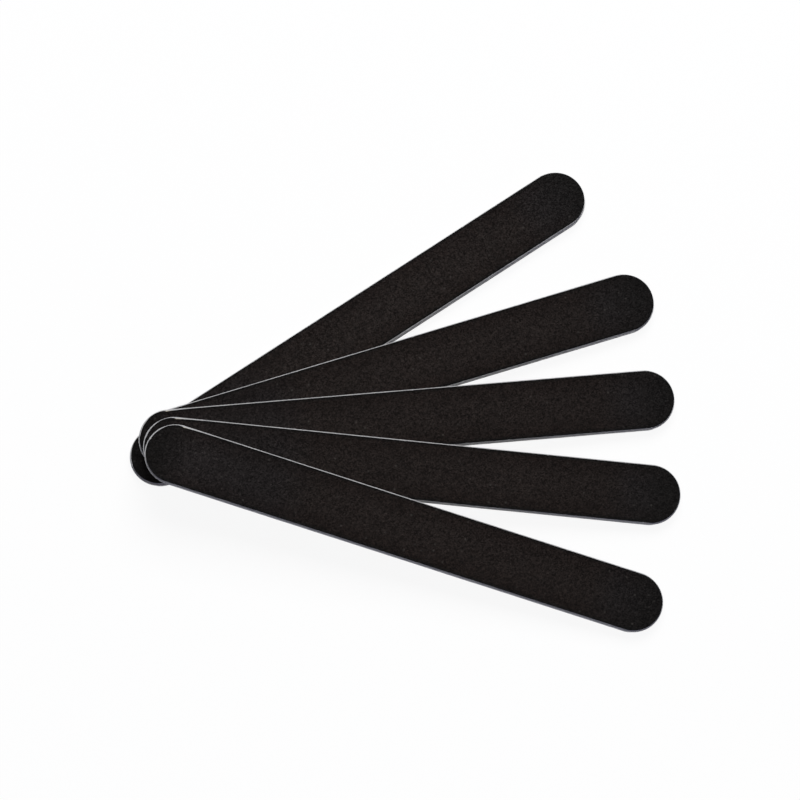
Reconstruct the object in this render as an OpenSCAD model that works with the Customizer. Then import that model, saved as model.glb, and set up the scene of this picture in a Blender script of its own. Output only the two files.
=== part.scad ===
// A fan of straight, round-ended emery boards that lie loose on a table.
// Each board is a flat laminate: a foam pad and a grit-coated paper sheet are glued to both faces of a
// stiff strip, and the whole is cut out in one stroke.
// The lowest board lies flat. Every other board leans on the front edge of the board beneath it and
// touches the table at its toe, so the heels pile up on the left and the toes spread to the right.
// Millimetres. +Z is up, +Y away from the viewer. The origin is on the table under the lowest heel.

/* [Board] */
// Length over both round ends
board_len = 178; // [150:1:200]
// Width over the sides of the foam, where it bulges most
board_w = 20; // [16:0.5:24]

/* [Layers] */
// Thickness of a grit-coated paper sheet
sheet_t = 0.35; // [0.25:0.05:0.6]
// Thickness of each glue film
glue_t = 0.05; // [0.03:0.01:0.1]
// Thickness of a foam pad
foam_t = 1.15; // [0.6:0.05:1.6]
// Thickness of the stiff centre strip
core_t = 0.8; // [0.4:0.1:1.5]

/* [Die-cut edge] */
// How far the foam springs out again beyond its own faces after the cut
foam_bulge = 0.15; // [0.05:0.05:0.25]
// How far a sheet's edge stays inside the outline of the board
sheet_inset = 0.4; // [0.25:0.05:0.6]
// How far the centre strip stays inside the outline of the board
core_inset = 0.1; // [0.05:0.05:0.2]
// How far a glue film stays inside the narrower of the two layers that it joins
glue_inset = 0.2; // [0.1:0.1:1]
// Radius that the cutter rolls onto the rim of a sheet
rim_r = 0.2; // [0.05:0.05:0.2]

/* [Fan] */
// Angle of the lowest board from +X, anticlockwise from above
first_turn = 34; // [20:0.5:50]
// How far each next board is turned clockwise from the one beneath it
turn_steps = [16.2, 12, 10.5, 12.3]; // [9:0.1:20]
// How far each next heel lies to the right of the one beneath it
heel_steps_x = [3.1, -0.1, 1.6, 0.6]; // [-5:0.1:5]
// How far each next heel lies behind the one beneath it
heel_steps_y = [4.3, -1, -3.6, -3.6]; // [-5:0.1:5]
// Clear height left where a board rests on another board or on the table
rest_gap = 0.08; // [0.05:0.01:0.2]

/* [Hidden] */
board_count = len(turn_steps) + 1;
outline_r = board_w / 2;
sheet_r = outline_r - sheet_inset;
core_r = outline_r - core_inset;
foam_face_r = outline_r - foam_bulge;
sheet_glue_r = sheet_r - glue_inset;
core_glue_r = foam_face_r - glue_inset;
straight_len = board_len - board_w;

// Height of each layer's underside above the underside of its board
bottom_sheet_glue_z = sheet_t;
lower_foam_z = bottom_sheet_glue_z + glue_t;
lower_core_glue_z = lower_foam_z + foam_t;
core_z = lower_core_glue_z + glue_t;
upper_core_glue_z = core_z + core_t;
upper_foam_z = upper_core_glue_z + glue_t;
top_sheet_glue_z = upper_foam_z + foam_t;
top_sheet_z = top_sheet_glue_z + glue_t;
board_t = top_sheet_z + sheet_t;

LAYERS = [
    "bottom_grit_sheet",
    "bottom_sheet_glue",
    "lower_foam_pad",
    "lower_core_glue",
    "core_strip",
    "upper_core_glue",
    "upper_foam_pad",
    "top_sheet_glue",
    "top_grit_sheet"
];
function node_name(board, layer) = str("board_", board, "_", layer);

GRIT = [0.15, 0.13, 0.13];
GLUE = [0.86, 0.80, 0.62];
FOAM = [0.84, 0.85, 0.88];
CORE = [0.95, 0.95, 0.94];

// Where the boards lie

function unit(v) = v / norm(v);
function plan(v) = [v.x, v.y];
function turn(board) = board == 1 ? first_turn : turn(board - 1) - turn_steps[board - 2];
function heading(board) = [cos(turn(board)), sin(turn(board))];
function heel(board) =
    board == 1 ? [0, 0] : heel(board - 1) + [heel_steps_x[board - 2], heel_steps_y[board - 2]];

// A pose is [origin, along, side, up, slope]. The origin is the heel's centre on the underside, the next
// three are unit vectors, and slope is how much the underside rises per millimetre in X and in Y.
function pose(board, height, slope) =
    let (
        run = heading(board),
        along = unit([run.x, run.y, slope * run]),
        up = unit([-slope.x, -slope.y, 1])
    )
    [[heel(board).x, heel(board).y, height], along, cross(up, along), up, slope];

function board_pose(board) =
    board == 1 ? pose(1, 0, [0, 0]) : leaning_pose(board, board_pose(board - 1));

// The underside holds the front top edge of the board beneath, whose line runs through `edge`. Across
// that line it falls until the lowest point of the toe's rim, a circle of sheet_r, meets the table.
// That makes rise + fall * reach equal to the drop of the circle, a quadratic equation for the fall.
function leaning_pose(board, below) =
    let (
        edge = below[0] - sheet_r * below[2] + board_t * below[3] + [0, 0, rest_gap],
        run = unit(plan(below[1])),
        front = [run.y, -run.x],
        run_slope = below[1].z / norm(plan(below[1])),
        toe = heel(board) + straight_len * heading(board) - plan(edge),
        rise = edge.z - rest_gap + run_slope * (toe * run),
        reach = toe * front,
        a = reach ^ 2 - sheet_r ^ 2,
        b = rise * reach,
        c = rise ^ 2 - (run_slope * sheet_r) ^ 2,
        fall = (sqrt(b ^ 2 - a * c) - b) / a,
        slope = run_slope * run + fall * front,
        // A fall gentler than the face beneath would bite into its back edge, so the board is raised
        raised = max(0, fall - below[4] * front) * 2 * sheet_r
    )
    pose(board, edge.z + raised + slope * (heel(board) - plan(edge)), slope);

module on_fan(board) {
    lie = board_pose(board);
    multmatrix([
        [lie[1].x, lie[2].x, lie[3].x, lie[0].x],
        [lie[1].y, lie[2].y, lie[3].y, lie[0].y],
        [lie[1].z, lie[2].z, lie[3].z, lie[0].z]
    ])
        children();
}

// Half sections across a layer: x is the distance from the middle line, y the height

module square_edge_section(reach, thick) {
    square([reach, thick]);
}

// The rim is rounded on the outer face, which is up
module rolled_rim_section(reach, thick) {
    square([reach - rim_r, thick]);
    square([reach, thick - rim_r]);
    intersection() {
        square([reach, thick]);
        translate([reach - rim_r, thick - rim_r])
            circle(rim_r, $fn = 48);
    }
}

// The side is one arc through both face edges, highest at half the thickness
module bulged_section(face_reach, bulge, thick) {
    arc_r = (thick ^ 2 / 4 + bulge ^ 2) / (2 * bulge);
    square([face_reach, thick]);
    intersection() {
        square([face_reach + bulge, thick]);
        translate([face_reach + bulge - arc_r, thick / 2])
            circle(arc_r, $fn = 96);
    }
}

// Sweeps a half section round a straight board with two half-round ends, the heel at the origin
module sweep_round_board() {
    for (end = [0, 1])
        translate([end * straight_len, 0, 0])
            rotate(90 + 180 * end)
                rotate_extrude(angle = 180, $fn = 96)
                    children();
    rotate([90, 0, 90])
        linear_extrude(straight_len)
            for (side = [0, 1])
                mirror([side, 0])
                    children();
}

module grit_sheet() {
    color(GRIT)
        sweep_round_board()
            rolled_rim_section(sheet_r, sheet_t);
}

module glue_film(reach) {
    color(GLUE)
        sweep_round_board()
            square_edge_section(reach, glue_t);
}

module foam_pad() {
    color(FOAM)
        sweep_round_board()
            bulged_section(foam_face_r, foam_bulge, foam_t);
}

module bottom_grit_sheet() {
    translate([0, 0, sheet_t])
        mirror([0, 0, 1])
            grit_sheet();
}

module bottom_sheet_glue() {
    translate([0, 0, bottom_sheet_glue_z])
        glue_film(sheet_glue_r);
}

module lower_foam_pad() {
    translate([0, 0, lower_foam_z])
        foam_pad();
}

module lower_core_glue() {
    translate([0, 0, lower_core_glue_z])
        glue_film(core_glue_r);
}

module core_strip() {
    color(CORE)
        translate([0, 0, core_z])
            sweep_round_board()
                square_edge_section(core_r, core_t);
}

module upper_core_glue() {
    translate([0, 0, upper_core_glue_z])
        glue_film(core_glue_r);
}

module upper_foam_pad() {
    translate([0, 0, upper_foam_z])
        foam_pad();
}

module top_sheet_glue() {
    translate([0, 0, top_sheet_glue_z])
        glue_film(sheet_glue_r);
}

module top_grit_sheet() {
    translate([0, 0, top_sheet_z])
        grit_sheet();
}

for (board = [1 : board_count]) {
    on_fan(board) bottom_grit_sheet();
    on_fan(board) bottom_sheet_glue();
    on_fan(board) lower_foam_pad();
    on_fan(board) lower_core_glue();
    on_fan(board) core_strip();
    on_fan(board) upper_core_glue();
    on_fan(board) upper_foam_pad();
    on_fan(board) top_sheet_glue();
    on_fan(board) top_grit_sheet();
}
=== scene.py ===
import math

import bpy
import numpy as np
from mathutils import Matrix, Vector
from mathutils.geometry import delaunay_2d_cdt
from mathutils.kdtree import KDTree


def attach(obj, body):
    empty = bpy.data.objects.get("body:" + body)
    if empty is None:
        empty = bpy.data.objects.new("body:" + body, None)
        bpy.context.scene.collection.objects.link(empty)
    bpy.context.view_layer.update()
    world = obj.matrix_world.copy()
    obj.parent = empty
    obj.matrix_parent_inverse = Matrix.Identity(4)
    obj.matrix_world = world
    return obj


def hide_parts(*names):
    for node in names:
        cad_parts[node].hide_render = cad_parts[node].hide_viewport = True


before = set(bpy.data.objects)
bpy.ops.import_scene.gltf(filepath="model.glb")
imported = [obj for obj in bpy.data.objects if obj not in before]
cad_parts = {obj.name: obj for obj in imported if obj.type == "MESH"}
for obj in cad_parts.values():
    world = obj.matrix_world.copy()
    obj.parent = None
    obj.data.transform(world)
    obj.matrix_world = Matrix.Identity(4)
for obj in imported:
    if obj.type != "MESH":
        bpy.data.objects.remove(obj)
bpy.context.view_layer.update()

MM = 0.001
BOARDS = (1, 2, 3, 4, 5)
SEED = 20

# Camera, at the photograph's angle: nearly overhead, from the front
CAMERA_PITCH = math.radians(16.5)
CAMERA_AIM = Vector((79.25, 20.17, 0.0)) * MM
CAMERA_DISTANCE = 2941 * MM
CAMERA_LENS = 400

# Light: each softbox is placed from the point that the camera aims at
KEY_FROM = Vector((0.24, 1.56, 2.1))
KEY_SIZE = 1.8
KEY_WATTS = 64.0
FRONT_FROM = Vector((0.3, -0.95, 0.16))
FRONT_SIZE = 0.7
FRONT_WATTS = 1.25
FILL_COLOUR = (0.90, 0.90, 1.18)
FILL_STRENGTH = 0.06

# Floor: how white it glows where it is looked at, and its own colours there and for other light
FLOOR_HALF = 3.0
FLOOR_GLOW = 0.92
FLOOR_SEEN = (0.10, 0.10, 0.10, 1)
FLOOR_DULL = (0.10, 0.10, 0.105, 1)

# A triangle of the core belongs to its flat upper face if it faces up nearly this well: first
# against the vertical, then against the mean of what was found
ROUGHLY_UP = 0.9
TRULY_UP = 0.999

# Grit sheets: the face's grains and the rim that the cutter rolled and nibbled
RING_STEP = 0.42 * MM
GRAIN_STEP = 0.37 * MM
GRAIN_STEP_UNDER = 0.8 * MM
GRAIN_JITTER = 0.32
GRAIN_CLEAR_OF_RIM = 0.55
GRAIN_HEIGHT = 0.036 * MM
GRAIN_MOST = 1.8
FACE_DROP = 2 * GRAIN_HEIGHT
RIM_ROUGHNESS = 0.4 * GRAIN_HEIGHT
COAT_INSET = 0.01 * MM
COAT_DEPTH = 0.14 * MM
NIBBLE_WIDTH = 1.2
NIBBLE_DEPTH = 0.012 * MM
NIBBLE_MOST = 3
NICK_CHANCE = 0.006
NICK_SHALLOW, NICK_DEEP = 0.05 * MM, 0.14 * MM
# The coat's rings from the face outwards: how far inside its edge, how far below the face, and
# how much of the rim's roughness is left
COAT_RINGS = (
    (0.20 * MM, 0.0, 1.0),
    (0.12 * MM, 0.015 * MM, 0.5),
    (0.04 * MM, 0.06 * MM, 0.0),
    (0.0, COAT_DEPTH, 0.0),
)
# The paper's edge under the coat: how much of each nibble it fills, at which share of the
# sheet's thickness, and how far it is drawn in at the underside
PAPER_FILL = 0.3
PAPER_FILL_HEIGHT = 0.3
PAPER_INSET = 0.01 * MM
# Where the sheet was cut back from the foam, on the far side of the heel: the most at the
# shoulder, where the straight edge starts, how soon that tapers off along the edge and on the
# curve, and the second place, further round the curve
SHOULDER_BACK = 0.38 * MM
SHOULDER_TAPER = 4 * MM
SHOULDER_TAPER_ON_CURVE = 0.12 * SHOULDER_TAPER
CURVE_BACK = 0.16 * MM
CURVE_FROM, CURVE_FULL, CURVE_UNTIL, CURVE_END = 5.0 * MM, 8.4 * MM, 12.6 * MM, 13.6 * MM
# Places of a sheet's two materials in its slots
COAT, PAPER = 0, 1

# Foam pads: the bulge of the cut side, its slow waves and single cells, and its rest inside the
# outline
FOAM_ROWS = 7
FOAM_BULGE = 0.15 * MM
FOAM_WAVE_WIDTH = 14
FOAM_WAVE = 0.012 * MM
FOAM_CELL = 0.01 * MM
FOAM_REST = 0.07 * MM
# The foam springs out less round the ends, least on the near side of the ends
FAR_END_TUCK = 0.1 * MM
NEAR_END_TUCK = 0.26 * MM
TUCK_TURN = 0.5

# Colours
COOL_BLACK = (0.0112, 0.0092, 0.0091, 1)
WARM_BLACK = (0.0121, 0.0088, 0.0077, 1)
# Painted shade: END_BLACK is the darker colour that the grit is drawn in at the ends
END_BLACK = (0.0038, 0.0031, 0.0029, 1)
# Painted shade: the colour that the grit is multiplied by towards the rim, and no change inside
RIM_PAINTED_SHADE = (0.54, 0.44, 0.41, 1)
RIM_UNSHADED = (1, 1, 1, 1)
DUST_GREY = (0.12, 0.11, 0.10, 1)
FOAM_WHITE = (0.72, 0.715, 0.72, 1)
FOAM_STAINED = (0.60, 0.60, 0.61, 1)
# Painted shade: the foam's colour is multiplied by this in the pits of its cells
PIT_PAINTED_SHADE = (0.80, 0.80, 0.80, 1)
PAPER_GREY = (0.055, 0.052, 0.052, 1)
PAPER_DUSTED = (0.30, 0.30, 0.31, 1)
PLASTIC_WHITE = (0.86, 0.86, 0.85, 1)
PLASTIC_DULLED = (0.80, 0.80, 0.80, 1)
GLUE_CLEAR = (0.66, 0.60, 0.44, 1)
GLUE_BROWNED = (0.52, 0.46, 0.33, 1)

# Textures, in cells per metre
GRAIN_SCALE, CLUMP_SCALE, CLOUD_SCALE, DUST_SCALE = 2750.0, 900.0, 70.0, 520.0
CELL_SCALE, STAIN_SCALE = 5200.0, 220.0
FIBRE_SCALE, SMEAR_SCALE = 3000.0, 450.0
DRAG_SCALE, TONE_SCALE = 2600.0, 120.0
PATCH_SCALE = 700.0

# Changes of the grit's colour along a board, whose heel is at -1 and whose toe is at 1
WARM_ON, WARM_OFF = (-0.50, -0.35), (0.72, 0.82)
# Painted shade: where the ends are drawn darker, and how much darker the toe half is
END_ON = (0.83, 0.95)
TOE_ON, TOE_SHADE = (0.4, 0.85), 0.8
WORN_ON, WORN_OFF, WORN_SHADE = (-0.93, -0.85), (-0.80, -0.68), 1.35
# and across it, in millimetres from the rim: painted shade, a thin darker line at the rim and a
# wider, tinted band of it towards the rim
RIM_OFF, RIM_SHADE = (0.35, 1.3), 0.15
RIM_PAINTED_SHADE_OFF = (0.5, 6.5)


def board_axes(board):
    """Middle of a board's core and its unit vectors along, across and up, from its flat top."""
    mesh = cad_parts[f"board_{board}_core_strip"].data
    mesh.calc_loop_triangles()
    points = np.array([v.co for v in mesh.vertices])
    corners = points[np.array([t.vertices for t in mesh.loop_triangles])]
    normals = np.cross(corners[:, 1] - corners[:, 0], corners[:, 2] - corners[:, 0])
    areas = np.linalg.norm(normals, axis=1)
    rough_up = normals[normals[:, 2] > ROUGHLY_UP * areas].sum(axis=0)
    flat = normals @ (rough_up / np.linalg.norm(rough_up)) > TRULY_UP * areas
    up = normals[flat].sum(axis=0)
    up /= np.linalg.norm(up)
    corners, areas = corners[flat], areas[flat]
    centre = (corners.mean(axis=1) * areas[:, None]).sum(axis=0) / areas.sum()
    spokes = corners - centre
    total = spokes.sum(axis=1)
    spread = np.einsum("t,ti,tj->ij", areas, total, total)
    spread += np.einsum("t,tki,tkj->ij", areas, spokes, spokes)
    along = np.linalg.eigh(spread)[1][:, 2]
    along *= np.sign(along[0])
    across = np.cross(up, along)
    return centre, np.array([along, across, up])


def layer_span(node, centre, axes):
    """A CAD node's lowest and highest reach along a board's own axes, half its straight length
    and the radius of its ends."""
    points = np.array([v.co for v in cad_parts[node].data.vertices])
    own = (points - centre) @ axes.T
    low, high = own.min(axis=0), own.max(axis=0)
    reach = (high[1] - low[1]) / 2
    return low, high, (high[0] - low[0]) / 2 - reach, reach


def outline(half_straight, radius, step):
    """Spine points and outward normals round a straight board with round ends, anticlockwise."""
    straight_count = max(2, round(2 * half_straight / step))
    turn_count = max(2, round(math.pi * radius / step))
    straight = np.linspace(-1, 1, straight_count, endpoint=False)
    turn = np.linspace(-0.5, 0.5, turn_count, endpoint=False) * math.pi
    spine = np.concatenate([
        straight * half_straight,
        np.full(turn_count, half_straight),
        -straight * half_straight,
        np.full(turn_count, -half_straight),
    ])
    angle = np.concatenate([
        np.full(straight_count, -math.pi / 2),
        turn,
        np.full(straight_count, math.pi / 2),
        turn + math.pi,
    ])
    normals = np.stack([np.cos(angle), np.sin(angle)], axis=1)
    return np.stack([spine, np.zeros(len(spine))], axis=1), normals


def smooth_noise(rng, count, width):
    """Noise round a closed loop, blurred over about width samples, with a spread of 1."""
    kernel = np.exp(-0.5 * (np.arange(count) / width) ** 2)
    kernel += kernel[::-1]
    blur = np.abs(np.fft.rfft(kernel))
    noise = np.fft.irfft(np.fft.rfft(rng.normal(size=count)) * blur, count)
    return noise / noise.std()


def smooth_step(value, low, high):
    """0 below low, 1 above high, and an even curve between them."""
    share = np.clip((value - low) / (high - low), 0, 1)
    return share * share * (3 - 2 * share)


def ring(spine, normals, reach, height):
    """One closed ring of points: reach and height may be numbers or one value per point."""
    flat = spine + normals * np.broadcast_to(reach, len(spine))[:, None]
    return np.column_stack([flat, np.broadcast_to(height, len(spine))])


def ring_quads(first, second, count):
    """Quads between two rings of count points, the second one outside or below. first and
    second are the vertex numbers at which the rings start."""
    here = np.arange(count)
    after = (here + 1) % count
    quads = [first + here, second + here, second + after, first + after]
    return np.stack(quads, axis=1).tolist()


def to_object(name, points, faces, centre, axes, materials, slots, smooth):
    """A mesh object in the CAD frame from points in a board's own axes."""
    mesh = bpy.data.meshes.new(name)
    mesh.from_pydata((points @ axes + centre).tolist(), [], faces)
    for material in materials:
        mesh.materials.append(material)
    mesh.polygons.foreach_set("material_index", slots)
    mesh.polygons.foreach_set("use_smooth", smooth)
    mesh.update()
    made = bpy.data.objects.new(name, mesh)
    bpy.context.scene.collection.objects.link(made)
    return made


def cut_back(spine, normals, half_straight, reach):
    """How far a sheet was cut back from the far side of the heel, all round an outline."""
    from_shoulder = spine[:, 0] + half_straight
    round_heel = np.arctan2(-normals[:, 0], normals[:, 1]) * reach
    on_heel = spine[:, 0] <= -half_straight
    shoulder = np.where(
        on_heel,
        np.exp(-np.clip(round_heel, 0, None) / SHOULDER_TAPER_ON_CURVE),
        np.exp(-from_shoulder / SHOULDER_TAPER),
    )
    curve = smooth_step(round_heel, CURVE_FROM, CURVE_FULL)
    curve *= 1 - smooth_step(round_heel, CURVE_UNTIL, CURVE_END)
    far = normals[:, 1] > 0
    return SHOULDER_BACK * shoulder * far + CURVE_BACK * curve * on_heel


def scattered(rng, rim, normals, half_straight, reach, step):
    """Jittered points of a triangular grid, at least half a step inside a closed rim."""
    rows = np.arange(-reach, reach, step * math.sqrt(0.75))
    columns = np.arange(-half_straight - reach, half_straight + reach, step)
    x, y = np.meshgrid(columns, rows)
    x = x + step / 2 * (np.arange(len(rows)) % 2)[:, None]
    points = np.stack([x.ravel(), y.ravel()], axis=1)
    points += rng.uniform(-GRAIN_JITTER, GRAIN_JITTER, points.shape) * step
    tree = KDTree(len(rim))
    for i, (x, y) in enumerate(rim.tolist()):
        tree.insert((x, y, 0), i)
    tree.balance()
    nearest = np.array([tree.find((x, y, 0))[1] for x, y in points.tolist()])
    inside = ((rim[nearest] - points) * normals[nearest]).sum(axis=1)
    return points[inside > GRAIN_CLEAR_OF_RIM * step]


def sheet_rings(spine, normals, half_straight, reach, top, thick, rng):
    """Rings down a sheet's side: the rolled rim of the coat, then the cut edge of the paper."""
    count = len(spine)
    nibble = np.clip(smooth_noise(rng, count, NIBBLE_WIDTH), 0, NIBBLE_MOST) * NIBBLE_DEPTH
    nicks = (rng.random(count) < NICK_CHANCE) * rng.uniform(NICK_SHALLOW, NICK_DEEP, count)
    edge = reach - COAT_INSET - nibble - nicks
    edge -= cut_back(spine, normals, half_straight, reach)
    rough = rng.normal(size=count) * RIM_ROUGHNESS
    rings = [
        ring(spine, normals, edge - inset, top - drop + rough * share)
        for inset, drop, share in COAT_RINGS
    ]
    rings.append(ring(spine, normals, edge + PAPER_FILL * nibble, thick * PAPER_FILL_HEIGHT))
    rings.append(ring(spine, normals, edge - PAPER_INSET, 0.0))
    return rings


def grain_face(rim, normals, half_straight, reach, step, top, rng):
    """Grains of uneven height inside a rim, and the faces that join the rim's points, which
    are numbered first, and the grains."""
    inner = scattered(rng, rim, normals, half_straight, reach, step)
    flat = [Vector(p) for p in rim.tolist() + inner.tolist()]
    inside_only, nearly_same = 1, 1e-9
    loop = list(range(len(rim)))
    found = delaunay_2d_cdt(flat, [], [loop], inside_only, nearly_same)
    source = [sources[0] for sources in found[3]]
    faces = [[source[v] for v in face] for face in found[2]]
    lift = np.clip(rng.normal(size=len(inner)), -GRAIN_MOST, GRAIN_MOST)
    return np.column_stack([inner, top + lift * GRAIN_HEIGHT]), faces


def grit_sheet(board, side, centre, axes, materials, rng):
    """A coated paper sheet: a faceted face of grit with a rolled rim, and the paper's cut edge
    under it."""
    node = f"board_{board}_{side}_grit_sheet"
    low, high, half_straight, reach = layer_span(node, centre, axes)
    thick = high[2] - low[2]
    top = thick - FACE_DROP
    step = GRAIN_STEP if side == "top" else GRAIN_STEP_UNDER
    spine, normals = outline(half_straight, reach, RING_STEP)
    count = len(spine)
    rings = sheet_rings(spine, normals, half_straight, reach, top, thick, rng)
    rim = rings[0][:, :2]
    grains, faces = grain_face(rim, normals, half_straight, reach, step, top, rng)

    points = np.concatenate([rings[0], grains] + rings[1:])
    starts = [0] + [len(grains) + count * i for i in range(1, len(rings))]
    slots = [COAT] * len(faces)
    smooth = [False] * len(faces)
    for i in range(1, len(rings)):
        band = ring_quads(starts[i - 1], starts[i], count)
        on_coat = i < len(COAT_RINGS)
        faces += band
        slots += [COAT if on_coat else PAPER] * len(band)
        smooth += [not on_coat] * len(band)
    faces.append([starts[-1] + i for i in range(count)][::-1])
    slots.append(PAPER)
    smooth.append(False)

    middle = (low + high) / 2
    if side == "bottom":
        points = points * [1, -1, -1] + [middle[0], middle[1], high[2]]
    else:
        points = points + [middle[0], middle[1], low[2]]
    name = f"board_{board}_{side}_grit"
    made = to_object(name, points, faces, centre, axes, materials, slots, smooth)
    store_reach(made, points, half_straight, reach)
    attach(made, f"board_{board}")
    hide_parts(node)


def store_reach(made, points, half_straight, reach):
    """Where each vertex lies on its board: along, from -1 at the heel to 1 at the toe, and
    margin, its distance from the rim in millimetres."""
    beyond = np.clip(np.abs(points[:, 0]) - half_straight, 0, None)
    margin = (reach - np.hypot(beyond, points[:, 1])) / MM
    along = points[:, 0] / (half_straight + reach)
    for name, values in (("along", along), ("margin", margin)):
        layer = made.data.attributes.new(name, "FLOAT", "POINT")
        layer.data.foreach_set("value", values.astype(np.float32))


def foam_pad(board, level, centre, axes, material, rng):
    """A foam pad whose cut side bulges between its faces, uneven as cut cells are."""
    node = f"board_{board}_{level}_foam_pad"
    low, high, half_straight, reach = layer_span(node, centre, axes)
    spine, normals = outline(half_straight, reach, RING_STEP)
    count = len(spine)
    waves = smooth_noise(rng, count, FOAM_WAVE_WIDTH) * FOAM_WAVE
    near = smooth_step(-normals[:, 1], -TUCK_TURN, TUCK_TURN)
    tuck = FAR_END_TUCK + (NEAR_END_TUCK - FAR_END_TUCK) * near
    tuck *= smooth_step(np.abs(normals[:, 0]), 0, TUCK_TURN)
    rows = []
    for share in np.linspace(1, 0, FOAM_ROWS):
        bulge = 1 - (2 * share - 1) ** 2
        cells = rng.normal(size=count) * FOAM_CELL
        inset = FOAM_BULGE * (1 - bulge) + (waves + cells) * bulge + FOAM_REST + tuck
        height = low[2] + share * (high[2] - low[2])
        rows.append(ring(spine, normals, reach - np.clip(inset, 0, None), height))
    points = np.concatenate(rows)
    points[:, :2] += (low + high)[:2] / 2
    faces = [list(range(count))]
    for row in range(FOAM_ROWS - 1):
        faces += ring_quads(row * count, (row + 1) * count, count)
    faces.append([(FOAM_ROWS - 1) * count + i for i in range(count)][::-1])
    slots = [0] * len(faces)
    smooth = [False] + [True] * (len(faces) - 2) + [False]
    name = f"board_{board}_{level}_foam"
    made = to_object(name, points, faces, centre, axes, [material], slots, smooth)
    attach(made, f"board_{board}")
    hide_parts(node)


class Nodes:
    """The node tree of a material or a world, with short calls for adding and joining nodes."""

    def __init__(self, owner, output):
        self.owner = owner
        self.owner.use_nodes = True
        self.tree = owner.node_tree
        self.tree.nodes.clear()
        self.output = self.tree.nodes.new(output)

    def add(self, kind, links=None, **settings):
        made = self.tree.nodes.new("ShaderNode" + kind)
        for key, value in settings.items():
            setattr(made, key, value)
        for socket, value in (links or {}).items():
            if isinstance(value, bpy.types.NodeSocket):
                self.tree.links.new(value, made.inputs[socket])
            else:
                made.inputs[socket].default_value = value
        return made

    def math(self, operation, first, second=0.5):
        return self.add("Math", {0: first, 1: second}, operation=operation).outputs[0]

    def ramp(self, value, low, high, to_low, to_high):
        """value mapped from low..high to to_low..to_high, clamped."""
        links = {0: value, 1: low, 2: high, 3: to_low, 4: to_high}
        return self.add("MapRange", links, clamp=True).outputs[0]

    def vary(self, noise, to_low, to_high):
        """A noise mapped to to_low..to_high from the range that it mostly keeps to."""
        return self.ramp(noise, 0.3, 0.7, to_low, to_high)

    def noise(self, place, scale, detail=2.0, roughness=0.5):
        links = {"Vector": place, "Scale": scale, "Detail": detail, "Roughness": roughness}
        return self.add("TexNoise", links).outputs[0]

    def cells(self, place, scale):
        """A cell pattern's distance from the nearest middle, and a random colour per cell."""
        made = self.add("TexVoronoi", {"Vector": place, "Scale": scale})
        return made.outputs["Distance"], made.outputs["Color"]

    def channel(self, colour, index):
        return self.add("SeparateColor", {0: colour}).outputs[index]

    def blend(self, share, first, second, mode="MIX"):
        links = {0: share, 6: first, 7: second}
        return self.add("Mix", links, data_type="RGBA", blend_type=mode).outputs[2]

    def shaded(self, colour, factor):
        """A colour times a number."""
        grey = self.add("CombineColor", {0: factor, 1: factor, 2: factor}).outputs[0]
        return self.blend(1.0, colour, grey, "MULTIPLY")

    def finish(self, shader):
        self.tree.links.new(shader.outputs[0], self.output.inputs[0])
        return self.owner

    def surface(self, base, rough, height, strength, distance, specular=0.5, invert=False):
        """A dielectric surface with bump from a height, as the finished material."""
        links = {"Strength": strength, "Distance": distance, "Height": height}
        bump = self.add("Bump", links, invert=invert).outputs[0]
        links = {"Base Color": base, "Roughness": rough, "Normal": bump}
        shader = self.add("BsdfPrincipled", links)
        shader.inputs["Specular IOR Level"].default_value = specular
        return self.finish(shader)


def new_material(name):
    """A fresh material's nodes, and the object coordinates that its textures use."""
    nodes = Nodes(bpy.data.materials.new(name), "ShaderNodeOutputMaterial")
    return nodes, nodes.add("TexCoord").outputs["Object"]


def grit_colour(s, along, margin):
    """Warm black between cooler ends, with painted shade that darkens the ends, the toe and the
    rim, and worn paler near the heel.
    """
    warm_on = s.ramp(along, *WARM_ON, 0.0, 1.0)
    warm_off = s.ramp(along, *WARM_OFF, 1.0, 0.0)
    base = s.blend(s.math("MINIMUM", warm_on, warm_off), COOL_BLACK, WARM_BLACK)
    # Painted shade: darker towards the ends
    end = s.ramp(s.math("ABSOLUTE", along), *END_ON, 0.0, 1.0)
    base = s.blend(end, base, END_BLACK)
    # Painted shade: the grit is drawn darker towards the rim, over a wide band and in a thin
    # line at the edge
    rim_shade_tint = s.blend(s.ramp(margin, *RIM_PAINTED_SHADE_OFF, 0.0, 1.0), RIM_PAINTED_SHADE, RIM_UNSHADED)
    base = s.blend(1.0, base, rim_shade_tint, "MULTIPLY")
    base = s.shaded(base, s.ramp(margin, *RIM_OFF, RIM_SHADE, 1.0))
    # Painted shade: darker over the toe half
    base = s.shaded(base, s.ramp(along, *TOE_ON, 1.0, TOE_SHADE))
    worn_on = s.ramp(along, *WORN_ON, 1.0, WORN_SHADE)
    worn_off = s.ramp(along, *WORN_OFF, WORN_SHADE, 1.0)
    return s.shaded(base, s.math("MINIMUM", worn_on, worn_off))


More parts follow.
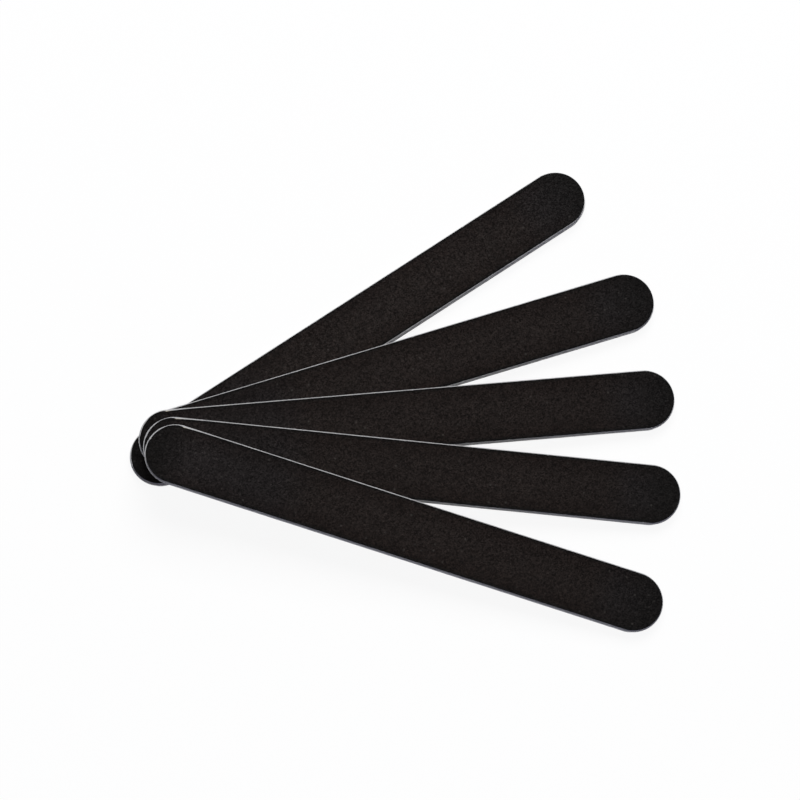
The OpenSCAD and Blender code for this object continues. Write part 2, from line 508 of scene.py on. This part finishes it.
def grit_material():
    """Fine black grit in dark resin, speckled grain by grain, with a few pale specks of dust."""
    s, place = new_material("black_grit")
    along = s.add("Attribute", attribute_name="along").outputs["Fac"]
    margin = s.add("Attribute", attribute_name="margin").outputs["Fac"]
    grain, grain_pick = s.cells(place, GRAIN_SCALE)
    grain_pick = s.channel(grain_pick, 0)
    clump = s.noise(place, CLUMP_SCALE, 3.0, 0.7)
    cloud = s.noise(place, CLOUD_SCALE)
    base = grit_colour(s, along, margin)
    base = s.shaded(base, s.ramp(grain_pick, 0.0, 1.0, 0.36, 1.62))
    base = s.shaded(base, s.vary(clump, 0.5, 1.5))
    base = s.shaded(base, s.vary(cloud, 0.92, 1.08))

    speck, speck_pick = s.cells(place, DUST_SCALE)
    speck_pick = s.channel(speck_pick, 1)
    few = s.ramp(speck_pick, 0.87, 0.93, 0.0, 1.0)
    small = s.ramp(speck, 0.04, 0.28, 0.27, 0.0)
    base = s.blend(s.math("MULTIPLY", few, small), base, DUST_GREY)

    rough = s.ramp(grain_pick, 0.0, 1.0, 0.95, 0.55)
    height = s.math("SUBTRACT", grain, clump)
    return s.surface(base, rough, height, 0.5, 0.05 * MM, specular=0.09, invert=True)


def foam_material():
    """White closed-cell foam where it was cut: pale, matte, pitted with small cells, with
    painted shade in the pits.
    """
    s, place = new_material("white_foam")
    cell = s.cells(place, CELL_SCALE)[0]
    stain = s.noise(place, STAIN_SCALE, 3.0)
    base = s.blend(s.ramp(stain, 0.35, 0.7, 0.0, 1.0), FOAM_WHITE, FOAM_STAINED)
    # Painted shade: the foam is drawn darker in the pits of its cells
    pitted = s.blend(1.0, base, PIT_PAINTED_SHADE, "MULTIPLY")
    base = s.blend(s.ramp(cell, 0.1, 0.55, 0.0, 1.0), pitted, base)
    rough = s.vary(stain, 0.85, 0.97)
    return s.surface(base, rough, cell, 0.6, 0.06 * MM, specular=0.3)


def paper_material():
    """The paper's cut edge: dark grey fibres, paler where foam dust was dragged over them."""
    s, place = new_material("paper_edge")
    fibres = s.noise(place, FIBRE_SCALE, 4.0, 0.75)
    smear = s.noise(place, SMEAR_SCALE)
    base = s.blend(s.ramp(smear, 0.45, 0.75, 0.0, 0.5), PAPER_GREY, PAPER_DUSTED)
    base = s.shaded(base, s.vary(fibres, 0.7, 1.3))
    rough = s.vary(fibres, 0.8, 0.95)
    return s.surface(base, rough, fibres, 0.5, 0.03 * MM, specular=0.2)


def core_material():
    """White plastic strip, satin, with fine drag marks where the cutter went through."""
    s, place = new_material("white_plastic")
    drag = s.noise(place, DRAG_SCALE)
    tone = s.noise(place, TONE_SCALE)
    base = s.blend(s.ramp(tone, 0.35, 0.65, 0.0, 1.0), PLASTIC_WHITE, PLASTIC_DULLED)
    rough = s.vary(drag, 0.35, 0.6)
    return s.surface(base, rough, drag, 0.25, 0.03 * MM)


def glue_material():
    """A dried film of yellowish glue, seen only as a line in the groove between two layers."""
    s, place = new_material("dried_glue")
    patch = s.noise(place, PATCH_SCALE, 3.0)
    base = s.blend(s.ramp(patch, 0.35, 0.65, 0.0, 1.0), GLUE_CLEAR, GLUE_BROWNED)
    rough = s.vary(patch, 0.3, 0.55)
    return s.surface(base, rough, patch, 0.3, 0.03 * MM)


def backdrop_share(s):
    """1 for rays that show the background: from the camera, a gloss or a transmission."""
    path = s.add("LightPath")
    share = path.outputs["Is Camera Ray"]
    for other in ("Is Glossy Ray", "Is Transmission Ray"):
        share = s.math("MAXIMUM", share, path.outputs[other])
    return share


def floor_material():
    """White where it is looked at, with a faint shadow, and dull to the light that it sends
    back."""
    s = Nodes(bpy.data.materials.new("floor_white"), "ShaderNodeOutputMaterial")
    lit = s.add("BsdfDiffuse", {"Color": FLOOR_SEEN})
    glow = s.add("Emission", {"Color": (1, 1, 1, 1), "Strength": FLOOR_GLOW})
    seen = s.add("AddShader", {0: lit.outputs[0], 1: glow.outputs[0]})
    dull = s.add("BsdfDiffuse", {"Color": FLOOR_DULL})
    links = {0: backdrop_share(s), 1: dull.outputs[0], 2: seen.outputs[0]}
    return s.finish(s.add("MixShader", links))


def make_floor():
    corners = [(-1, -1, 0), (1, -1, 0), (1, 1, 0), (-1, 1, 0)]
    mesh = bpy.data.meshes.new("floor")
    mesh.from_pydata([Vector(corner) * FLOOR_HALF for corner in corners], [], [(0, 1, 2, 3)])
    mesh.materials.append(floor_material())
    floor = bpy.data.objects.new("floor", mesh)
    bpy.context.scene.collection.objects.link(floor)


def make_world():
    """White where it is looked at, and a weak cool fill for all else."""
    s = Nodes(bpy.data.worlds.new("studio"), "ShaderNodeOutputWorld")
    fill = s.add("Background", {"Color": (*FILL_COLOUR, 1), "Strength": FILL_STRENGTH})
    white = s.add("Background", {"Color": (1, 1, 1, 1)})
    links = {0: backdrop_share(s), 1: fill.outputs[0], 2: white.outputs[0]}
    bpy.context.scene.world = s.finish(s.add("MixShader", links))


def make_softbox(name, offset, size, watts, colour=(1, 1, 1)):
    """A square area light, turned to the point that the camera aims at."""
    lamp = bpy.data.lights.new(name, "AREA")
    lamp.shape = "SQUARE"
    lamp.size = size
    lamp.energy = watts
    lamp.color = colour
    box = bpy.data.objects.new(name, lamp)
    box.location = CAMERA_AIM + offset
    box.rotation_euler = offset.to_track_quat("Z", "Y").to_euler()
    bpy.context.scene.collection.objects.link(box)


def make_camera():
    lens = bpy.data.cameras.new("camera")
    lens.lens = CAMERA_LENS
    camera = bpy.data.objects.new("camera", lens)
    back = Vector((0, -math.sin(CAMERA_PITCH), math.cos(CAMERA_PITCH)))
    camera.location = CAMERA_AIM + back * CAMERA_DISTANCE
    camera.rotation_euler = (CAMERA_PITCH, 0, 0)
    bpy.context.scene.collection.objects.link(camera)
    bpy.context.scene.camera = camera


def dress_node(name, material):
    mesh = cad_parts[name].data
    mesh.materials.clear()
    mesh.materials.append(material)


make_camera()
make_floor()
make_world()
make_softbox("key", KEY_FROM, KEY_SIZE, KEY_WATTS)
make_softbox("front", FRONT_FROM, FRONT_SIZE, FRONT_WATTS, FILL_COLOUR)

grit, paper = grit_material(), paper_material()
foam, core, glue = foam_material(), core_material(), glue_material()
for board in BOARDS:
    centre, axes = board_axes(board)
    rng = np.random.default_rng(SEED + board)
    for side in ("top", "bottom"):
        grit_sheet(board, side, centre, axes, [grit, paper], rng)
    for level in ("upper", "lower"):
        foam_pad(board, level, centre, axes, foam, rng)
    dress_node(f"board_{board}_core_strip", core)
    for film in ("bottom_sheet_glue", "lower_core_glue", "upper_core_glue", "top_sheet_glue"):
        dress_node(f"board_{board}_{film}", glue)

bpy.context.scene.view_settings.view_transform = "Standard"
